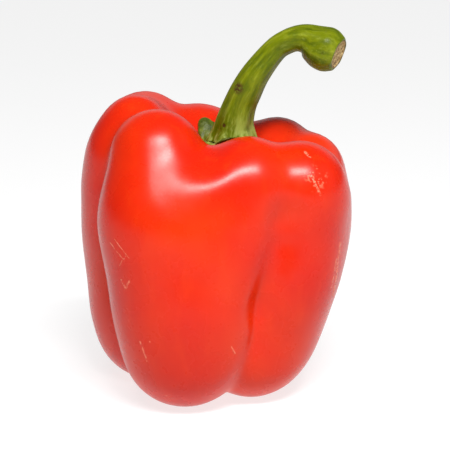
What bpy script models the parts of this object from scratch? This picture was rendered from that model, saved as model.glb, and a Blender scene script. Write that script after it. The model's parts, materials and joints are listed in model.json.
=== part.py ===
"""A bell pepper standing on its lobes: the red fruit, the green calyx in its stem cavity, and the bent stem.

Metres, +Z up. The origin is on the surface that the pepper stands on, under the middle of its bounding box.
+X runs towards the side that the stem bends over, and -Y is the front, where the broadest lobe faces.

The fruit is made the way it grows: each lobe is a pair of ribs, each rib is a string of three balls (crown,
belly and foot) wrapped in a taut skin, and the skins melt into each other, softly between the two ribs of a
lobe and tightly at the creases between lobes. A ball of points round the heart is pulled onto that skin.
"""
import math
from collections import namedtuple

import bmesh
import bpy
import numpy as np
from mathutils import Matrix, Vector

MM = 0.001

# ---------------------------------------------------------------- driving dimensions, in millimetres
# A ball is placed by its distance right (+X) and back (+Y) of the origin and by its height.
Ball = namedtuple("Ball", "x y z radius")
Rib = namedtuple("Rib", "crown belly foot")

LOBES = {
    "front": (
        Rib(Ball(-17.5, -13.5, 77.5, 14.5), Ball(-15.5, -18, 58.5, 18), Ball(-9.5, -18, 17.5, 18)),
        Rib(Ball(10.5, -18, 69, 15.5), Ball(8, -17, 51.5, 14.5), Ball(-5, -18.5, 34, 18.5)),
    ),
    "right": (
        Rib(Ball(26, -14.5, 67.5, 15), Ball(19.5, -13.5, 41, 15), Ball(11, -11.5, 17.5, 17)),
        Rib(Ball(29, 11, 67.5, 12.5), Ball(23, 7, 53.5, 17), Ball(15.5, 1.5, 27.5, 17)),
    ),
    "back": (
        Rib(Ball(20, 19.5, 70.5, 12.5), Ball(16.5, 18.5, 45.5, 16), Ball(8.5, 13.5, 19.5, 16)),
        Rib(Ball(-5.5, 23.5, 67.5, 19), Ball(-4.5, 21.5, 45.5, 16.5), Ball(-3.5, 14.5, 19, 16)),
    ),
    "left": (
        Rib(Ball(-22.5, 22.5, 77, 14), Ball(-20, 13.5, 49, 16.5), Ball(-20.5, 7, 15.5, 14.5)),
        Rib(Ball(-24.5, 4.5, 83, 10), Ball(-24.5, 6, 73, 14), Ball(-17, 4.5, 30, 19)),
    ),
}
CORE = (Ball(4, 0.5, 54, 22), Ball(-1.5, -0.5, 28.5, 22))
RIB_MELT = 9  # how softly a rib bends at its belly
TWIN_HEIGHTS = (64, 80)  # the two ribs of a lobe part from each other between these heights...
TWIN_MELT = (20, 8)  # ...where the reach of their melt goes from the first to the second of these
CREASE_HEIGHTS = (30, 66)  # the crease between two lobes softens upwards between these heights...
CREASE_MELT = (1.8, 3.5)  # ...with its melt going from the first to the second of these
HEART = (0, -1, 44)  # every point of the skin can be seen from here
FRUIT_COLUMNS = 120
FRUIT_ROWS = 48
POLE_CROWDING = 0.15  # rows lie closer together round the stem and under the fruit than at the belly

STEM_BASE = (5.5, 1)  # where the stem stands, right and back of the origin
HUB_HEIGHT = 79.4  # the calyx is flat on top here, and the stem stands on it
HUB_RADIUS = 8.3
CALYX_RADIUS = 9.8
CALYX_POINTS = 6  # pointed tips round its rim, left over from the flower
CALYX_POINT_LENGTH = 2.6
CALYX_LEAN = math.radians(150)  # it spreads furthest this way, counted from +X towards +Y
CALYX_THICKNESS = 1.7
CALYX_COLUMNS = 60
CALYX_ROWS = 24
GAP = 0.3  # between two pieces that touch

# The middle of the stem and its radius, from the calyx to the cut end.
STEM_STATIONS = (
    Ball(5.5, 1, HUB_HEIGHT + GAP, 6.9),
    Ball(6, 1, 82.5, 6.4),
    Ball(6.5, 0.5, 86, 5.6),
    Ball(8, 0.5, 91, 5),
    Ball(10, 0, 95.5, 4.8),
    Ball(13, -0.5, 101, 4.3),
    Ball(18.5, -0.5, 108, 3.7),
    Ball(22, -1, 110.5, 3.7),
    Ball(25, -1.5, 111.7, 3.9),
    Ball(28, -2, 111.7, 4.6),
    Ball(30.5, -2.5, 110.5, 5.8),
    Ball(33, -3, 109.2, 6.7),
    Ball(35.5, -3.8, 108.3, 6.6),
    Ball(38, -4.9, 107.4, 5.2),
)
STEM_STEPS = 3  # rings between two stations
STEM_LEVEL_RINGS = 6  # the rings turn from level, on the calyx, to square across the path by this one
STEM_SIDES = 36
STEM_RIBS = 6
STEM_RIB_DEPTH = (0.09, 0.035)  # share of the radius, at the calyx and from a quarter of the way up
CUT_RIM = 0.8  # width of the green rim round the dry cut end
CUT_DEPTH = 0.5  # how far the cut end has shrunk in behind its rim


# ---------------------------------------------------------------- the skin as a distance
def round_cone_distance(points, low, high):
    """Distance from each point to the skin stretched over two balls, negative inside."""
    a = np.array(low[:3], float)
    along = np.array(high[:3], float) - a
    length2 = along @ along
    step = low.radius - high.radius
    slant2 = length2 - step * step
    from_a = points - a
    run = from_a @ along
    beyond = run - length2
    across2 = ((from_a * length2 - run[:, None] * along) ** 2).sum(axis=1)
    run2 = run * run * length2
    beyond2 = beyond * beyond * length2
    turn = math.copysign(step * step, step) * across2
    on_side = (np.sqrt(across2 * slant2 / length2) + run * step) / length2 - low.radius
    on_high = np.sqrt(across2 + beyond2) / length2 - high.radius
    on_low = np.sqrt(across2 + run2) / length2 - low.radius
    distance = np.where(np.sign(run) * slant2 * run2 < turn, on_low, on_side)
    return np.where(np.sign(beyond) * slant2 * beyond2 > turn, on_high, distance)


def melted(first, second, reach):
    """The smooth union of two distances: where they differ by less than the reach, they flow together."""
    overlap = np.maximum(reach - np.abs(first - second), 0) / reach
    return np.minimum(first, second) - overlap * overlap * reach / 4


def rib_distance(points, rib):
    upper = round_cone_distance(points, rib.belly, rib.crown)
    lower = round_cone_distance(points, rib.foot, rib.belly)
    return melted(upper, lower, RIB_MELT)


def skin_distance(points):
    """Distance from each point to the fruit's skin, negative inside."""
    twins = np.interp(points[:, 2], TWIN_HEIGHTS, TWIN_MELT)
    crease = np.interp(points[:, 2], CREASE_HEIGHTS, CREASE_MELT)
    distance = round_cone_distance(points, *CORE)
    for first, second in LOBES.values():
        lobe = melted(rib_distance(points, first), rib_distance(points, second), twins)
        distance = melted(distance, lobe, crease)
    return distance


def skin_points(directions, gap=0.0):
    """Where rays from the heart leave the skin, or the layer that lies a gap outside it."""
    heart = np.array(HEART)
    near = np.zeros(len(directions))
    far = np.full(len(directions), 90.0)
    for _ in range(32):
        middle = (near + far) / 2
        inside = skin_distance(heart + directions * middle[:, None]) < gap
        near = np.where(inside, middle, near)
        far = np.where(inside, far, middle)
    return heart + directions * near[:, None]


# ---------------------------------------------------------------- the three pieces
def add_piece(name, bm, color, roughness, sharp_angle):
    """Turns a bmesh in millimetres into a smooth-shaded object with its own plain material."""
    bmesh.ops.scale(bm, vec=(MM, MM, MM), verts=bm.verts)
    bmesh.ops.recalc_face_normals(bm, faces=bm.faces)
    mesh = bpy.data.meshes.new(name)
    bm.to_mesh(mesh)
    bm.free()
    mesh.shade_smooth()
    mesh.set_sharp_from_angle(angle=math.radians(sharp_angle))
    piece = bpy.data.objects.new(name, mesh)
    bpy.context.scene.collection.objects.link(piece)

    material = bpy.data.materials.new(name + "_skin")
    material.use_nodes = True
    shader = material.node_tree.nodes["Principled BSDF"]
    shader.inputs["Base Color"].default_value = (*color, 1)
    shader.inputs["Roughness"].default_value = roughness
    shader.inputs["Metallic"].default_value = 0
    mesh.materials.append(material)
    return piece


def unit(vectors):
    return vectors / np.linalg.norm(vectors, axis=1, keepdims=True)


def put(verts, points):
    for vert, point in zip(verts, points):
        vert.co = point


def make_fruit():
    """A ball of points round the heart, pulled onto the skin, and flat where the lobes rest."""
    bm = bmesh.new()
    bmesh.ops.create_uvsphere(bm, u_segments=FRUIT_COLUMNS, v_segments=FRUIT_ROWS, radius=1)
    verts = list(bm.verts)
    ball = np.array([vert.co for vert in verts])
    turn = np.arctan2(ball[:, 1], ball[:, 0])
    down = np.arccos(np.clip(ball[:, 2], -1, 1))
    down -= POLE_CROWDING * np.sin(2 * down)
    directions = np.stack([np.sin(down) * np.cos(turn), np.sin(down) * np.sin(turn), np.cos(down)], axis=1)
    points = skin_points(directions)
    points[:, 2] = np.maximum(points[:, 2], 0)
    put(verts, points)
    return add_piece("fruit", bm, (0.85, 0.045, 0.008), 0.25, 60)


def calyx_reach(turn):
    """How far the rim of the calyx lies from its middle, in each direction."""
    petal = np.abs(np.cos(turn * CALYX_POINTS / 2 - 0.8))
    leftwards = np.cos(turn - CALYX_LEAN)
    return CALYX_RADIUS + 0.4 * leftwards + CALYX_POINT_LENGTH * (1 + 0.5 * leftwards) * petal ** 3


def make_calyx():
    """A ball pressed flat onto the floor of the stem cavity, with a pointed rim and a level hub on top."""
    bm = bmesh.new()
    bmesh.ops.create_uvsphere(bm, u_segments=CALYX_COLUMNS, v_segments=CALYX_ROWS, radius=1)
    verts = list(bm.verts)
    ball = np.array([vert.co for vert in verts])
    turn = np.arctan2(ball[:, 1], ball[:, 0])
    share = np.minimum(np.hypot(ball[:, 0], ball[:, 1]), 1)
    reach = share * calyx_reach(turn)
    aim = np.stack([STEM_BASE[0] + reach * np.cos(turn), STEM_BASE[1] + reach * np.sin(turn),
                    np.full(len(turn), float(HUB_HEIGHT))], axis=1)
    directions = unit(aim - np.array(HEART))
    edge = np.sqrt(np.maximum(1 - share ** 2, 0))
    upper = ball[:, 2] > 0
    lower_side = skin_points(directions, GAP)
    upper_side = skin_points(directions, GAP + 0.5 + CALYX_THICKNESS * edge)
    rim_side = skin_points(directions, GAP + 0.5 * (1 - edge))
    points = np.where(upper[:, None], upper_side, rim_side)
    points = np.where((ball[:, 2] < 0)[:, None] & (edge > 0.6)[:, None], lower_side, points)
    reached = np.hypot(points[:, 0] - STEM_BASE[0], points[:, 1] - STEM_BASE[1])
    flat = np.clip((HUB_RADIUS + 1.5 - reached) / 1.5, 0, 1) * upper
    points[:, 2] += (HUB_HEIGHT - points[:, 2]) * flat
    put(verts, points)
    return add_piece("calyx", bm, (0.10, 0.13, 0.02), 0.5, 50)


def smooth_path(stations, steps):
    """A Catmull-Rom line through the stations, as rows of x, y, z and radius."""
    knots = np.array(stations, float)
    before = np.vstack([2 * knots[:1] - knots[1:2], knots[:-1]])
    after = np.vstack([knots[1:], 2 * knots[-1:] - knots[-2:-1]])
    slopes = (after - before) / 2
    rows = []
    for start, end, leave, arrive in zip(knots[:-1], knots[1:], slopes[:-1], slopes[1:]):
        for t in np.arange(steps) / steps:
            rows.append((2 * t ** 3 - 3 * t ** 2 + 1) * start + (t ** 3 - 2 * t ** 2 + t) * leave
                        + (3 * t ** 2 - 2 * t ** 3) * end + (t ** 3 - t ** 2) * arrive)
    rows.append(knots[-1])
    return np.array(rows)


def stem_ring(path, index):
    """The points of one ring across the stem, fluted by its ribs."""
    middle = Vector(path[index, :3])
    ahead = Vector(path[min(index + 1, len(path) - 1), :3] - path[max(index - 1, 0), :3]).normalized()
    ahead = Vector((0, 0, 1)).lerp(ahead, min(index / STEM_LEVEL_RINGS, 1)).normalized()
    back = (Vector((0, 1, 0)) - ahead * ahead.y).normalized()
    side = back.cross(ahead)
    share = min(index / (len(path) * 0.25), 1)
    depth = STEM_RIB_DEPTH[0] + (STEM_RIB_DEPTH[1] - STEM_RIB_DEPTH[0]) * share
    ring = []
    for number in range(STEM_SIDES):
        turn = 2 * math.pi * number / STEM_SIDES
        radius = path[index, 3] * (1 + depth * math.cos(STEM_RIBS * turn))
        ring.append(middle + side * (radius * math.cos(turn)) + back * (radius * math.sin(turn)))
    return ring


def make_stem():
    """A disc on the calyx, extruded ring by ring along the stem's path to the cut end."""
    path = smooth_path(STEM_STATIONS, STEM_STEPS)
    bm = bmesh.new()
    ring = bmesh.ops.create_circle(bm, cap_ends=True, segments=STEM_SIDES, radius=1)["verts"]
    put(ring, stem_ring(path, 0))
    end = bm.faces[:][0]
    for index in range(1, len(path)):
        order = {vert.co.copy().freeze(): number for number, vert in enumerate(ring)}
        last = end
        made = bmesh.ops.extrude_face_region(bm, geom=[end], use_keep_orig=True)["geom"]
        end = next(item for item in made if isinstance(item, bmesh.types.BMFace))
        if index > 1:
            bmesh.ops.delete(bm, geom=[last], context="FACES_ONLY")
        ring = sorted(end.verts, key=lambda vert: order[vert.co.copy().freeze()])
        put(ring, stem_ring(path, index))
    bmesh.ops.inset_region(bm, faces=[end], thickness=CUT_RIM, depth=0)
    bmesh.ops.inset_region(bm, faces=[end], thickness=CUT_DEPTH, depth=-CUT_DEPTH)
    return add_piece("stem", bm, (0.15, 0.20, 0.012), 0.42, 40)


def centre_over_origin(pieces):
    """Moves the pieces together, so that the middle of their bounding box is straight above the origin."""
    corners = np.array([piece.matrix_world @ Vector(corner) for piece in pieces for corner in piece.bound_box])
    middle = (corners.min(axis=0) + corners.max(axis=0)) / 2
    for piece in pieces:
        piece.data.transform(Matrix.Translation((-middle[0], -middle[1], 0)))


for old in list(bpy.data.objects):
    bpy.data.objects.remove(old)

centre_over_origin([make_fruit(), make_calyx(), make_stem()])
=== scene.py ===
"""A red bell pepper on a white table, lit by softboxes in front of it, above, to its right and behind."""

import json
import math

import bmesh
import bpy
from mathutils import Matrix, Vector

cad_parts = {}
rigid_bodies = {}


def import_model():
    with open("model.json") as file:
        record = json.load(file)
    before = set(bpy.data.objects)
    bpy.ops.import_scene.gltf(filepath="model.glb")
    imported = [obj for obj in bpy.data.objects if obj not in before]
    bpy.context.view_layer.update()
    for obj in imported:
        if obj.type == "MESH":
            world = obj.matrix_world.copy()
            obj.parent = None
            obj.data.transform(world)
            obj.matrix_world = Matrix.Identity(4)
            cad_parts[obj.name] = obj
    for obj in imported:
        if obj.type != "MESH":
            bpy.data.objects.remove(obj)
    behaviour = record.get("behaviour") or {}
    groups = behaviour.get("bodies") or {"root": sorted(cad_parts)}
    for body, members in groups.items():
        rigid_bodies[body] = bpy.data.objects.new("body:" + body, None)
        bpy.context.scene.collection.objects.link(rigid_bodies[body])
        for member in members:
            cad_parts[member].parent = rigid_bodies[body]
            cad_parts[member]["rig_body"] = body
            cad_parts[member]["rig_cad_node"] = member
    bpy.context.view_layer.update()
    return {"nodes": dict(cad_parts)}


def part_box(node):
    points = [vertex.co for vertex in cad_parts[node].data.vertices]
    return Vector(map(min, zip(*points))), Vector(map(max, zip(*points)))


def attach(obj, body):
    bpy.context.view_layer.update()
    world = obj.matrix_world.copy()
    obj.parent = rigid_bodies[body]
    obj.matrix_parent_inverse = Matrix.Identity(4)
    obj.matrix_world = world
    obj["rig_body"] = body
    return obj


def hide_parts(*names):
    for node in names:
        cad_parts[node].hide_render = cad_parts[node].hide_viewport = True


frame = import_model()

MM = 0.001


# ---------------------------------------------------------------- working by hand
def deselect_all():
    if bpy.context.object and bpy.context.object.mode != "OBJECT":
        bpy.ops.object.mode_set(mode="OBJECT")
    bpy.ops.object.select_all(action="DESELECT")


def pick(piece):
    deselect_all()
    piece.select_set(True)
    bpy.context.view_layer.objects.active = piece


def edit(piece, kind="VERT"):
    """Goes into edit mode with nothing selected."""
    pick(piece)
    bpy.ops.object.mode_set(mode="EDIT")
    bpy.ops.mesh.select_mode(type=kind)
    bpy.ops.mesh.select_all(action="DESELECT")


def select_verts(piece, wanted):
    """In edit mode, selects the vertices whose place and normal are wanted, and says how many there are."""
    bpy.ops.object.mode_set(mode="OBJECT")
    count = 0
    for vert in piece.data.vertices:
        vert.select = bool(wanted(vert.co, vert.normal))
        count += vert.select
    bpy.ops.object.mode_set(mode="EDIT")
    return count


def finish_modifier(piece, kind, **settings):
    """Adds one modifier and applies it."""
    pick(piece)
    modifier = piece.modifiers.new(kind.lower(), kind)
    for name, value in settings.items():
        setattr(modifier, name, value)
    bpy.ops.object.modifier_apply(modifier=modifier.name)


def subdivided(piece, levels):
    finish_modifier(piece, "SUBSURF", levels=levels, render_levels=levels)


def copy_of(node, name):
    """A copy of a CAD node's mesh with its loose triangles joined into quads."""
    pick(frame["nodes"][node])
    bpy.ops.object.duplicate()
    piece = bpy.context.object
    piece.name = name
    piece.data.name = name
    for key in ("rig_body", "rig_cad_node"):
        if key in piece:
            del piece[key]
    piece.parent = None
    piece.data.materials.clear()
    if piece.data.has_custom_normals:
        bpy.ops.mesh.customdata_custom_splitnormals_clear()
    edit(piece)
    bpy.ops.mesh.select_all(action="SELECT")
    bpy.ops.mesh.remove_doubles(threshold=0.01 * MM)
    bpy.ops.mesh.tris_convert_to_quads(face_threshold=math.radians(60), shape_threshold=math.radians(60))
    bpy.ops.mesh.normals_make_consistent(inside=False)
    bpy.ops.object.mode_set(mode="OBJECT")
    return piece


def lumps(piece, name, size, height):
    """Soft lumps and hollows of one size, pushed into the piece."""
    clouds = bpy.data.textures.new(name, "CLOUDS")
    clouds.noise_scale = size
    clouds.noise_depth = 1
    finish_modifier(piece, "DISPLACE", texture=clouds, texture_coords="LOCAL", strength=height, mid_level=0.5)


# ---------------------------------------------------------------- working with shader nodes
class Finish:
    """A material, with short ways to add its nodes."""

    def __init__(self, name):
        self.material = bpy.data.materials.new(name)
        self.material.use_nodes = True
        self.tree = self.material.node_tree
        self.shader = self.tree.nodes["Principled BSDF"]
        self.place = self.add("ShaderNodeTexCoord").outputs["Object"]

    def add(self, kind, **settings):
        node = self.tree.nodes.new(kind)
        for name, value in settings.items():
            setattr(node, name, value)
        return node

    def plug(self, source, socket):
        if isinstance(source, bpy.types.NodeSocket):
            self.tree.links.new(source, socket)
        else:
            socket.default_value = source

    def math(self, operation, first, second=0.0, third=0.0):
        node = self.add("ShaderNodeMath", operation=operation)
        for source, socket in zip((first, second, third), node.inputs):
            self.plug(source, socket)
        return node.outputs[0]

    def vector(self, operation, first, second=None):
        node = self.add("ShaderNodeVectorMath", operation=operation)
        self.plug(first, node.inputs[0])
        if second is not None:
            self.plug(second, node.inputs[1])
        return node.outputs["Value" if operation in ("LENGTH", "DISTANCE", "DOT_PRODUCT") else "Vector"]

    def stretched(self, scale, place=None):
        """The place, squeezed along each axis, so that a pattern on it is drawn out."""
        node = self.add("ShaderNodeMapping")
        self.plug(place or self.place, node.inputs["Vector"])
        node.inputs["Scale"].default_value = scale
        return node.outputs[0]

    def noise(self, size, detail=2.0, roughness=0.5, place=None):
        """Cloudy noise whose patches are about this size, in metres."""
        node = self.add("ShaderNodeTexNoise")
        self.plug(place or self.place, node.inputs["Vector"])
        node.inputs["Scale"].default_value = 1 / size
        node.inputs["Detail"].default_value = detail
        node.inputs["Roughness"].default_value = roughness
        return node.outputs["Fac"]

    def ramp(self, amount, *stops):
        """Colours or shades at positions along the amount."""
        node = self.add("ShaderNodeValToRGB")
        self.plug(amount, node.inputs[0])
        elements = node.color_ramp.elements
        while len(elements) < len(stops):
            elements.new(0.5)
        for element, (position, color) in zip(elements, stops):
            element.position = position
            element.color = (*color, 1) if isinstance(color, tuple) else (color, color, color, 1)
        return node.outputs[0]

    def fade(self, amount, start, end):
        """0 at the start, 1 at the end, smoothly between."""
        node = self.add("ShaderNodeMapRange", interpolation_type="SMOOTHSTEP")
        self.plug(amount, node.inputs[0])
        node.inputs["From Min"].default_value = min(start, end)
        node.inputs["From Max"].default_value = max(start, end)
        node.inputs["To Min"].default_value = 0 if start < end else 1
        node.inputs["To Max"].default_value = 1 if start < end else 0
        return node.outputs[0]

    def blend(self, amount, below, above):
        node = self.add("ShaderNodeMix", data_type="RGBA")
        self.plug(amount, node.inputs["Factor"])
        for source, socket in ((below, node.inputs[6]), (above, node.inputs[7])):
            self.plug((*source, 1) if isinstance(source, tuple) else source, socket)
        return node.outputs[2]

    def near(self, point, reach, soft=0.5):
        """1 within a reach of a point, fading to 0."""
        away = self.vector("DISTANCE", self.place, point)
        return self.fade(away, reach, reach * (1 - soft))

    def near_line(self, start, end, reach, place, wobble):
        """1 along the line from start to end, such as a scratch, which wavers by the wobble."""
        start, end = Vector(start), Vector(end)
        along = end - start
        bend = self.add("ShaderNodeTexNoise")
        self.plug(place, bend.inputs["Vector"])
        bend.inputs["Scale"].default_value = 350
        shift = self.vector("SUBTRACT", bend.outputs["Color"], (0.5, 0.5, 0.5))
        shift = self.vector("MULTIPLY", shift, (wobble, 0, wobble))
        offset = self.vector("SUBTRACT", self.vector("ADD", place, shift), tuple(start))
        run = self.vector("DOT_PRODUCT", offset, tuple(along / along.length_squared))
        run = self.math("MINIMUM", self.math("MAXIMUM", run, 0.0), 1.0)
        step = self.add("ShaderNodeVectorMath", operation="SCALE")
        step.inputs[0].default_value = tuple(along)
        self.plug(run, step.inputs["Scale"])
        away = self.vector("DISTANCE", offset, step.outputs[0])
        return self.fade(away, reach, reach * 0.35)

    def most(self, *amounts):
        result = amounts[0]
        for amount in amounts[1:]:
            result = self.math("MAXIMUM", result, amount)
        return result

    def bump(self, height, depth, strength=1.0, under=None):
        """A bump of a height from 0 to 1 that stands a depth in metres."""
        node = self.add("ShaderNodeBump")
        node.inputs["Strength"].default_value = strength
        node.inputs["Distance"].default_value = depth
        self.plug(height, node.inputs["Height"])
        if under is not None:
            self.plug(under, node.inputs["Normal"])
        return node.outputs[0]

    def set(self, **values):
        for name, value in values.items():
            self.plug(value, self.shader.inputs[name.replace("_", " ")])


# ---------------------------------------------------------------- camera, table and lights
def aim(thing, place, target):
    thing.location = place
    thing.rotation_euler = (Vector(target) - Vector(place)).to_track_quat("-Z", "Y").to_euler()


def make_camera():
    target = Vector((0.0030, -0.0021, 0.0495))
    lift = math.radians(15)
    camera = bpy.data.objects.new("camera", bpy.data.cameras.new("camera"))
    camera.data.sensor_width = 36
    camera.data.lens = 146.14
    camera.data.clip_start = 0.01
    bpy.context.scene.collection.objects.link(camera)
    aim(camera, target + Vector((0, -math.cos(lift), math.sin(lift))) * 0.6, target)
    bpy.context.scene.camera = camera


def make_table():
    deselect_all()
    bpy.ops.mesh.primitive_plane_add(size=6, location=(0, 1.2, 0))
    table = bpy.context.object
    table.name = "table"
    white = Finish("white_table")
    white.set(Base_Color=(0.30, 0.30, 0.30, 1), Roughness=0.9, Specular_IOR_Level=0.1,
              Emission_Color=(1, 1, 1, 1), Emission_Strength=0.76)
    table.data.materials.append(white.material)


def make_softbox(name, width, height, watts, place, target):
    light = bpy.data.lights.new(name, "AREA")
    light.shape = "RECTANGLE"
    light.size = width
    light.size_y = height
    light.energy = watts
    box = bpy.data.objects.new(name, light)
    bpy.context.scene.collection.objects.link(box)
    aim(box, place, target)


def make_lights():
    world = bpy.data.worlds.new("studio")
    bpy.context.scene.world = world
    world.use_nodes = True
    world.node_tree.nodes["Background"].inputs["Color"].default_value = (1, 1, 1, 1)
    world.node_tree.nodes["Background"].inputs["Strength"].default_value = 0.13
    middle = (0, 0, 0.06)
    make_softbox("front_softbox", 0.50, 0.17, 4.4, (0.05, -0.42, 0.60), middle)
    make_softbox("front_lamp", 0.26, 0.09, 3.6, (0.10, -0.40, 0.63), middle)
    make_softbox("right_screen", 1.2, 1.0, 1.2, (1.0, -0.35, 0.55), middle)
    make_softbox("back_screen", 1.8, 0.5, 1.2, (0.0, 1.1, 0.45), middle)


# ---------------------------------------------------------------- the fruit
CREASE_DEPTH = 1.6 * MM  # how much further the creases go in than the smooth frame has them
CREASE_BENDS = (0.03, 0.15)  # how sharply the skin bends inwards, per mm, at a crease's edge and its bottom
CREASE_STARTS = (14 * MM, 22 * MM)  # away from the stem, between these, the creases fade in round the cavity

# The crease between the front lobe and the right lobe runs straight from its top to its end.
CREASE_TOP = Vector((21, -30, 63)) * MM
CREASE_END = Vector((13, -31, 34)) * MM
CREASE_PULLS = 6
CREASE_MOVE = Vector((-0.5, 1.1, 0)) * MM
CREASE_REACH = 8 * MM

# Scars on the side that faces front, in millimetres: how far right and up at each end, and the width.
SCRATCHES = (
    (-28.0, 44.0, -26.6, 41.5, 0.35),
    (-26.6, 41.5, -25.6, 44.2, 0.35),
    (-31.5, 55.0, -27.0, 50.5, 0.2),
    (-30.0, 56.5, -25.5, 51.5, 0.15),
    (-28.5, 48.5, -26.5, 52.0, 0.15),
    (-22.5, 25.5, -20.5, 19.0, 0.3),
    (5.0, 24.0, 6.0, 21.5, 0.25),
    (38.3, 52.0, 36.4, 34.0, 0.45),
    (37.0, 47.0, 35.6, 38.0, 0.35),
    (29.0, 74.5, 31.5, 69.0, 0.5),
    (27.0, 80.5, 28.5, 79.5, 0.45),
)


def skin_finish():
    skin = Finish("red_skin")
    broad = skin.noise(0.030, 2)
    streaks = skin.noise(0.004, 3, 0.6, place=skin.stretched((1, 1, 0.22)))
    ripe = skin.ramp(broad, (0.35, (0.56, 0.011, 0.001)), (0.55, (0.60, 0.018, 0.001)),
                     (0.72, (0.64, 0.027, 0.001)))
    color = skin.blend(skin.math("MULTIPLY", skin.fade(streaks, 0.5, 0.8), 0.35), ripe, (0.68, 0.036, 0.002))

    # pale breathing pores, thinly scattered
    cells = skin.add("ShaderNodeTexVoronoi", feature="F1")
    skin.plug(skin.place, cells.inputs["Vector"])
    cells.inputs["Scale"].default_value = 210
    chosen = skin.add("ShaderNodeSeparateColor")
    skin.plug(cells.outputs["Color"], chosen.inputs[0])
    pores = skin.math("MULTIPLY", skin.fade(cells.outputs["Distance"], 0.09, 0.03),
                      skin.math("GREATER_THAN", chosen.outputs[0], 0.86))

    # scratches on the front, broken up along their length
    front = skin.add("ShaderNodeSeparateXYZ")
    skin.plug(skin.place, front.inputs[0])
    facing_front = skin.fade(front.outputs["Y"], -0.002, -0.008)
    face = skin.vector("MULTIPLY", skin.place, (1, 0, 1))
    lines = skin.most(*(
        skin.near_line((x1 * MM, 0, z1 * MM), (x2 * MM, 0, z2 * MM), width * MM, face, 0.9 * MM)
        for x1, z1, x2, z2, width in SCRATCHES))
    broken = skin.fade(skin.noise(0.0009, 2, 0.7), 0.42, 0.56)
    scars = skin.math("MULTIPLY", skin.math("MULTIPLY", lines, facing_front), broken)
    # a rubbed patch on the shoulder of the right lobe
    patch = skin.near((0.030, -0.0265, 0.0735), 5 * MM, 0.8)
    right_side_flecks = skin.math("MULTIPLY", patch, skin.fade(skin.noise(0.0013, 3, 0.6), 0.54, 0.62))
    pale = skin.math("MULTIPLY", skin.most(pores, scars, right_side_flecks), 0.6)
    color = skin.blend(pale, color, (0.88, 0.30, 0.17))

    # the dry scar of the flower, under the fruit between the lobes
    below = skin.vector("MULTIPLY", skin.place, (1, 1, 0.25))
    button = skin.fade(skin.vector("DISTANCE", below, (-0.0005, -0.0012, 0.0014)), 0.0032, 0.0020)
    tan = skin.ramp(skin.noise(0.0008, 3, 0.7), (0.35, (0.16, 0.07, 0.025)), (0.65, (0.42, 0.24, 0.09)))
    color = skin.blend(button, color, tan)
    skin.set(Base_Color=color)

    orange_peel = skin.noise(0.0008, 1)
    dimples = skin.noise(0.007, 1)
    bumps = skin.bump(orange_peel, 0.015 * MM, 0.5)
    bumps = skin.bump(dimples, 0.09 * MM, 0.6, under=bumps)
    bumps = skin.bump(skin.most(scars, button), 0.08 * MM, 0.7, under=bumps)
    gloss = skin.ramp(skin.noise(0.008, 3, 0.6), (0.3, 0.24), (0.7, 0.32))
    skin.set(Normal=bumps, Roughness=skin.most(gloss, skin.math("MULTIPLY", pale, 0.8)))
    skin.set(IOR=1.33, Specular_IOR_Level=0.5, Subsurface_Weight=0.05, Subsurface_Radius=(1.0, 0.15, 0.05),
             Subsurface_Scale=0.004)
    return skin.material


def mark_hollows(fruit, foot):
    """Makes a vertex group that is 1 along the creases between the lobes, and fades to 0 beside them."""
    edge_bend, bottom_bend = CREASE_BENDS
    start, full = CREASE_STARTS
    shape = bmesh.new()
    shape.from_mesh(fruit.data)
    around = [[edge.other_vert(vert).index for edge in vert.link_edges] for vert in shape.verts]
    hollow = []
    for vert in shape.verts:
        near = [edge.other_vert(vert).co for edge in vert.link_edges]
        span = sum((place - vert.co).length for place in near) / len(near)
        lean = (sum(near, Vector()) / len(near) - vert.co).dot(vert.normal)
        bend = 2 * lean / span ** 2 * MM
        hollow.append(min(max(bend - edge_bend, 0) / (bottom_bend - edge_bend), 1))
    shape.free()
    for _ in range(5):
        hollow = [(amount + sum(hollow[other] for other in others) / len(others)) / 2
                  for amount, others in zip(hollow, around)]
    group = fruit.vertex_groups.new(name="creases")
    for vert, amount in zip(fruit.data.vertices, hollow):
        away = (vert.co.xy - foot.xy).length
        on_side = min(max((away - start) / (full - start), 0), 1)
        group.add([vert.index], min(amount * 1.6, 1) * on_side, "REPLACE")


def pull(piece, point, move, reach):
    """Takes hold of the skin nearest to a point and pulls it, and what is within reach follows smoothly."""
    edit(piece)
    grip = min((vert.co - point).length for vert in piece.data.vertices) + 0.3 * MM
    select_verts(piece, lambda place, normal: (place - point).length < grip)
    bpy.ops.transform.translate(value=move, use_proportional_edit=True, proportional_edit_falloff="SMOOTH",
                                proportional_size=reach)
    bpy.ops.object.mode_set(mode="OBJECT")


def make_fruit():
    fruit = copy_of("fruit", "pepper_fruit")
    subdivided(fruit, 1)
    mark_hollows(fruit, stem_foot())
    finish_modifier(fruit, "DISPLACE", direction="NORMAL", strength=-CREASE_DEPTH, mid_level=0.0,
                    vertex_group="creases")
    # the front lobe is nearly flat between its two ribs, below the crown
    pull(fruit, Vector((-3, -31, 74)) * MM, (0, -2.6 * MM, 0), 15 * MM)
    # the crease to the right of it is deeper than the frame has it
    for number in range(CREASE_PULLS):
        place = CREASE_TOP.lerp(CREASE_END, number / (CREASE_PULLS - 1))
        pull(fruit, place, CREASE_MOVE, CREASE_REACH)
    lumps(fruit, "skin_lumps", 0.018, 0.35 * MM)
    flatten_feet(fruit)
    pick(fruit)
    bpy.ops.object.shade_smooth()
    fruit.data.materials.append(skin_finish())
    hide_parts("fruit")
    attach(fruit, "root")
    return fruit


def flatten_feet(fruit):
    """Sets every lobe down on the table where the lumps have pushed it through."""
    edit(fruit)
    if select_verts(fruit, lambda place, normal: place.z < 0.0):
        bpy.ops.transform.resize(value=(1, 1, 0), center_override=(0, 0, 0))
    bpy.ops.object.mode_set(mode="OBJECT")


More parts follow.
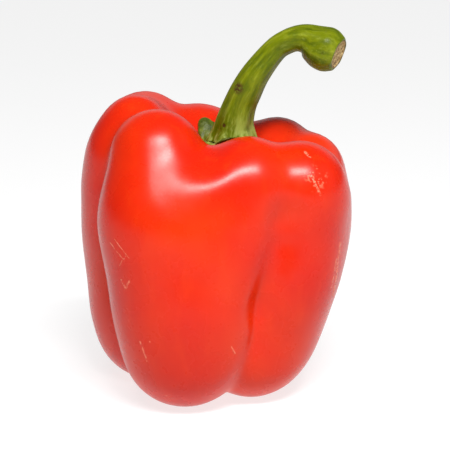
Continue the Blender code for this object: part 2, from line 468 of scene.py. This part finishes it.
# ---------------------------------------------------------------- the stem
STEM_STEP = 2.5 * MM  # between two points of the line up the middle of the stem


def stem_foot():
    """The middle of the stem's foot, on the calyx."""
    low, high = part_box("stem")
    ring = [vert.co for vert in frame["nodes"]["stem"].data.vertices if vert.co.z < low.z + 0.1 * MM]
    return sum(ring, Vector()) / len(ring)


def middle_of(faces):
    """The middle of some faces and the way they look, each face counting by its area."""
    area = sum(face.area for face in faces)
    middle = sum((face.center * face.area for face in faces), Vector()) / area
    return middle, sum((face.normal * face.area for face in faces), Vector()).normalized()


def middle_line(stem, foot):
    """Points up the middle of the stem, a step apart, from its foot to the middle of its cut end."""
    faces = stem.data.polygons[:]
    path, ahead = [foot], Vector((0, 0, 1))
    left = STEM_STEP * 3
    while left > STEM_STEP * 2:
        guess = path[-1] + ahead * STEM_STEP
        around = [face for face in faces
                  if abs((face.center - guess).dot(ahead)) < 1.2 * MM
                  and (face.center - guess).length < 9 * MM]
        middle = middle_of(around)[0]
        ahead = (middle - path[-1]).normalized()
        path.append(middle)
        left = max((face.center - middle).dot(ahead) for face in faces)
    for _ in range(3):
        cut = [face for face in faces
               if face.normal.dot(ahead) > 0.8 and (face.center - path[-1]).dot(ahead) > left / 2]
        end, ahead = middle_of(cut)
    path = [place for place in path if (end - place).length > STEM_STEP * 1.5]
    return path + [end - ahead * STEM_STEP, end]


def straighten(stem, path):
    """Keeps with each point its place on the stem pulled straight: across, across, and along."""
    spans = [(start, end, (end - start).normalized()) for start, end in zip(path, path[1:])]
    runs = [0.0]
    for start, end, ahead in spans:
        runs.append(runs[-1] + (end - start).length)
    straight = stem.data.attributes.new("straight", "FLOAT_VECTOR", "POINT")
    for vert in stem.data.vertices:
        best = None
        for number, (start, end, ahead) in enumerate(spans):
            run = (vert.co - start).dot(ahead)
            if number > 0:
                run = max(run, 0.0)
            if number < len(spans) - 1:
                run = min(run, (end - start).length)
            offset = vert.co - start - ahead * run
            if best is None or offset.length < best[0]:
                back = (Vector((0, 1, 0)) - ahead * ahead.y).normalized()
                side = back.cross(ahead)
                best = (offset.length, (offset.dot(side), offset.dot(back), runs[number] + run))
        straight.data[vert.index].vector = best[1]
    return runs[-1]


def stem_finish(foot):
    green = Finish("stem_green")
    own = green.add("ShaderNodeAttribute", attribute_name="straight").outputs["Vector"]
    parts = green.add("ShaderNodeSeparateXYZ")
    green.plug(own, parts.inputs[0])
    along = parts.outputs["Z"]
    drawn = green.stretched((1, 1, 0.16), own)
    cords = green.noise(0.0021, 3, 0.55, place=drawn)
    fibres = green.noise(0.0006, 3, 0.6, place=drawn)
    patches = green.noise(0.0045, 3, 0.6)
    color = green.ramp(cords, (0.30, (0.050, 0.074, 0.0004)), (0.47, (0.100, 0.128, 0.001)),
                       (0.60, (0.140, 0.168, 0.002)), (0.74, (0.215, 0.250, 0.015)))
    darker = green.math("MULTIPLY", green.fade(patches, 0.52, 0.72), 0.5)
    color = green.blend(darker, color, (0.060, 0.100, 0.001))
    paler = green.math("MULTIPLY", green.fade(fibres, 0.55, 0.75), 0.35)
    color = green.blend(paler, color, (0.27, 0.31, 0.05))

    # paler cords where it spreads onto the calyx: the cords are the stem's own grain, but their paleness near
    # the foot is a painted highlight
    foot_cords_painted_highlight = green.math("MULTIPLY", green.fade(along, 0.012, 0.002), green.fade(cords, 0.46, 0.60))
    color = green.blend(green.math("MULTIPLY", foot_cords_painted_highlight, 0.7), color, (0.34, 0.40, 0.10))

    # brown scars, and brown flecks gathered along the stem's right and lower side
    bruise = green.near(foot + Vector((1.9, -4.6, 17)) * MM, 2.6 * MM, 0.7)
    nick = green.near(foot + Vector((-2.6, -5.4, 5.5)) * MM, 0.9 * MM, 0.6)
    flecks = green.fade(green.noise(0.0012, 3, 0.7, place=green.stretched((1, 1, 0.35), own)), 0.64, 0.72)
    right_side_flecks = green.math("MULTIPLY", green.fade(parts.outputs["X"], 0.0018, 0.0036), flecks)
    mottled = green.fade(green.noise(0.0009, 3, 0.7), 0.36, 0.50)
    brown = green.most(green.math("MULTIPLY", bruise, mottled), nick, green.math("MULTIPLY", right_side_flecks, 0.8),
                       green.math("MULTIPLY", flecks, 0.35))
    color = green.blend(brown, color, (0.060, 0.030, 0.006))
    bumps = green.bump(cords, 0.55 * MM, 0.55)
    bumps = green.bump(fibres, 0.12 * MM, 0.6, under=bumps)
    bumps = green.bump(brown, -0.2 * MM, 0.6, under=bumps)
    green.set(Base_Color=color, Normal=bumps, IOR=1.35, Specular_IOR_Level=0.25,
              Roughness=green.ramp(patches, (0.3, 0.30), (0.7, 0.46)))
    return green.material


def cut_finish():
    dry = Finish("dry_cut")
    own = dry.add("ShaderNodeAttribute", attribute_name="straight").outputs["Vector"]
    grain = dry.noise(0.0011, 4, 0.7, place=dry.stretched((1, 1, 0.3), own))
    color = dry.ramp(grain, (0.34, (0.09, 0.045, 0.015)), (0.46, (0.34, 0.21, 0.07)),
                     (0.58, (0.52, 0.37, 0.16)), (0.72, (0.68, 0.54, 0.30)))
    away = dry.vector("LENGTH", dry.vector("MULTIPLY", own, (1, 1, 0)))
    color = dry.blend(dry.fade(away, 0.0040, 0.0046), color, (0.12, 0.07, 0.02))
    dry.set(Base_Color=color, Roughness=0.85, Normal=dry.bump(grain, 0.5 * MM, 1.0))
    return dry.material


def make_stem():
    foot = stem_foot()
    stem = copy_of("stem", "pepper_stem")
    subdivided(stem, 2)
    path = middle_line(stem, foot)
    low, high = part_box("stem")

    # spread its foot into the calyx
    edit(stem)
    select_verts(stem, lambda place, normal: place.z < low.z + 0.4 * MM)
    bpy.ops.transform.resize(value=(1.13, 1.13, 1), center_override=foot, use_proportional_edit=True,
                             proportional_edit_falloff="SHARP", proportional_size=4 * MM)
    bpy.ops.transform.translate(value=(0, 0, -0.5 * MM), use_proportional_edit=True,
                                proportional_edit_falloff="SMOOTH", proportional_size=3 * MM)
    bpy.ops.object.mode_set(mode="OBJECT")

    length = straighten(stem, path)
    pick(stem)
    bpy.ops.object.shade_smooth()
    stem.data.materials.append(stem_finish(foot))
    stem.data.materials.append(cut_finish())
    ahead = (path[-1] - path[-2]).normalized()
    own = stem.data.attributes["straight"].data
    for face in stem.data.polygons:
        inner = all(own[vert].vector.z > length - 1.4 * MM and own[vert].vector.xy.length < 4.75 * MM
                    for vert in face.vertices)
        if inner and face.normal.dot(ahead) > 0.2:
            face.material_index = 1
    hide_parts("stem")
    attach(stem, "root")
    return stem


# ---------------------------------------------------------------- the calyx
def calyx_finish(foot):
    leaf = Finish("calyx_leaf")
    outward = leaf.vector("DISTANCE", leaf.vector("MULTIPLY", leaf.place, (1, 1, 0)), (foot.x, foot.y, 0))
    mottle = leaf.noise(0.0022, 4, 0.65)
    dark = leaf.ramp(mottle, (0.32, (0.035, 0.050, 0.001)), (0.55, (0.080, 0.105, 0.003)),
                     (0.72, (0.14, 0.165, 0.01)))
    bright = leaf.ramp(mottle, (0.34, (0.10, 0.13, 0.01)), (0.50, (0.19, 0.23, 0.03)),
                       (0.62, (0.30, 0.28, 0.07)), (0.70, (0.12, 0.07, 0.02)))
    color = leaf.blend(leaf.fade(outward, 0.0105, 0.0075), dark, bright)
    bumps = leaf.bump(leaf.noise(0.0013, 3, 0.6), 0.35 * MM, 0.8)
    leaf.set(Base_Color=color, Roughness=0.48, Specular_IOR_Level=0.35, Normal=bumps)
    return leaf.material


def make_calyx():
    calyx = copy_of("calyx", "pepper_calyx")
    subdivided(calyx, 2)
    lumps(calyx, "calyx_knobs", 0.0026, 0.8 * MM)
    pick(calyx)
    bpy.ops.object.shade_smooth()
    calyx.data.materials.append(calyx_finish(stem_foot()))
    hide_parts("calyx")
    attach(calyx, "root")
    return calyx


bpy.context.scene.view_settings.view_transform = "Standard"
make_camera()
make_table()
make_lights()
make_fruit()
make_calyx()
make_stem()
